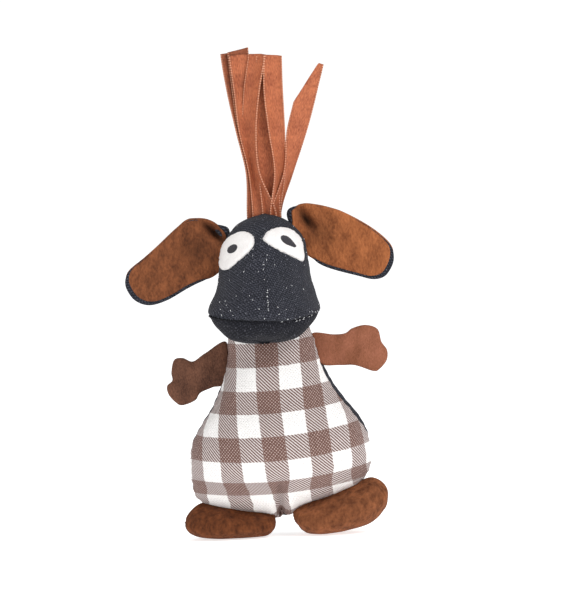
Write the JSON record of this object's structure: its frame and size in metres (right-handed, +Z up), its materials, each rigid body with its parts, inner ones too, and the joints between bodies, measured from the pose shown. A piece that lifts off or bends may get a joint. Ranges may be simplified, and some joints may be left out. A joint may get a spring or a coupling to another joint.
{
  "type": "stuffed fabric animal toy",
  "caption": "Small stuffed fabric animal with a denim head, hanging velour ears, gingham belly, suede arms, velour feet and a tall ribbon tuft.",
  "frame": {"origin": "middle of the toy's box, on the floor it stands on", "axes": "+Z up through the tuft, the face towards -Y, +X to the right as seen from the front"},
  "size_m": [0.122, 0.0658, 0.2206],
  "materials": {
    "gingham_cotton": "matte",
    "dark_denim": "matte",
    "polyester_fibre": "matte",
    "brown_velour": "matte",
    "foot_velour": "matte",
    "brown_suede": "matte",
    "white_felt": "matte",
    "dark_thread": "matte",
    "neck_thread": "matte",
    "satin_ribbon": "satin"
  },
  "bodies": {
    "torso": {"body_front_panel": "gingham_cotton", "body_back_panel": "dark_denim", "body_stuffing": "polyester_fibre"},
    "neck": {"neck_stitching": "neck_thread"},
    "head": {"face_panel": "dark_denim", "chin_panel": "dark_denim", "head_back_panel": "dark_denim", "head_stuffing": "polyester_fibre", "eye_left_white": "white_felt", "eye_left_pupil": "dark_thread", "eye_right_white": "white_felt", "eye_right_pupil": "dark_thread"},
    "ear_left": {"ear_left_lining": "brown_velour", "ear_left_back": "dark_denim"},
    "ear_right": {"ear_right_lining": "brown_velour", "ear_right_back": "dark_denim"},
    "arm_left": {"arm_left_front": "brown_suede", "arm_left_back": "brown_suede"},
    "arm_right": {"arm_right_front": "brown_suede", "arm_right_back": "brown_suede"},
    "foot_left": {"foot_left_upper": "foot_velour", "foot_left_sole": "foot_velour", "foot_left_stuffing": "polyester_fibre"},
    "foot_right": {"foot_right_upper": "foot_velour", "foot_right_sole": "foot_velour", "foot_right_stuffing": "polyester_fibre"},
    "tuft": {"ribbon_1": "satin_ribbon", "ribbon_2": "satin_ribbon", "ribbon_3": "satin_ribbon", "ribbon_4": "satin_ribbon", "ribbon_5": "satin_ribbon", "ribbon_6": "satin_ribbon"},
    "strand": {"ribbon_strand": "satin_ribbon"}
  },
  "joints": [
    {"name": "neck_turn", "type": "hinge", "parent": "torso", "child": "neck", "pos_m": [0.0029, 0.0057, 0.0946], "axis": [0, 0, 1], "range_deg": [-20, 20], "stiffness_Nm_per_rad": 0.05},
    {"name": "neck_nod", "type": "hinge", "parent": "neck", "child": "head", "pos_m": [0.0029, 0.0057, 0.0949], "axis": [1, 0, 0], "range_deg": [-14, 8], "stiffness_Nm_per_rad": 0.15},
    {"name": "ear_left_flap", "type": "hinge", "parent": "head", "child": "ear_left", "pos_m": [-0.01812, 0.0057, 0.1307], "axis": [0.2443, 0, 0.9697], "range_deg": [-35, 35], "stiffness_Nm_per_rad": 0.005},
    {"name": "ear_right_flap", "type": "hinge", "parent": "head", "child": "ear_right", "pos_m": [0.01968, 0.0057, 0.1352], "axis": [-0.347, 0, 0.9379], "range_deg": [-35, 35], "stiffness_Nm_per_rad": 0.005},
    {"name": "arm_left_swing", "type": "hinge", "parent": "torso", "child": "arm_left", "pos_m": [-0.01935, 0.0047, 0.079], "axis": [0.2376, 0, 0.9714], "range_deg": [-45, 45], "stiffness_Nm_per_rad": 0.005},
    {"name": "arm_right_swing", "type": "hinge", "parent": "torso", "child": "arm_right", "pos_m": [0.02559, 0.0047, 0.0837], "axis": [-0.3413, 0, 0.94], "range_deg": [-45, 45], "stiffness_Nm_per_rad": 0.005},
    {"name": "foot_left_flap", "type": "hinge", "parent": "torso", "child": "foot_left", "pos_m": [-0.0184, 0.0027, 0.01225], "axis": [0.9726, 0, -0.2325], "range_deg": [-15, 15], "stiffness_Nm_per_rad": 0.5},
    {"name": "foot_right_flap", "type": "hinge", "parent": "torso", "child": "foot_right", "pos_m": [0.0315, 0.0027, 0.01798], "axis": [0.9285, 0, 0.3714], "range_deg": [-15, 15], "stiffness_Nm_per_rad": 0.5},
    {"name": "tuft_flop", "type": "hinge", "parent": "head", "child": "tuft", "pos_m": [0.0029, 0.0057, 0.14569], "axis": [1, 0, 0], "range_deg": [-45, 45], "stiffness_Nm_per_rad": 0.004},
    {"name": "strand_swing", "type": "hinge", "parent": "tuft", "child": "strand", "pos_m": [0.0069, 0.0057, 0.14569], "axis": [0, 1, 0], "range_deg": [-12, 20], "stiffness_Nm_per_rad": 0.002}
  ]
}
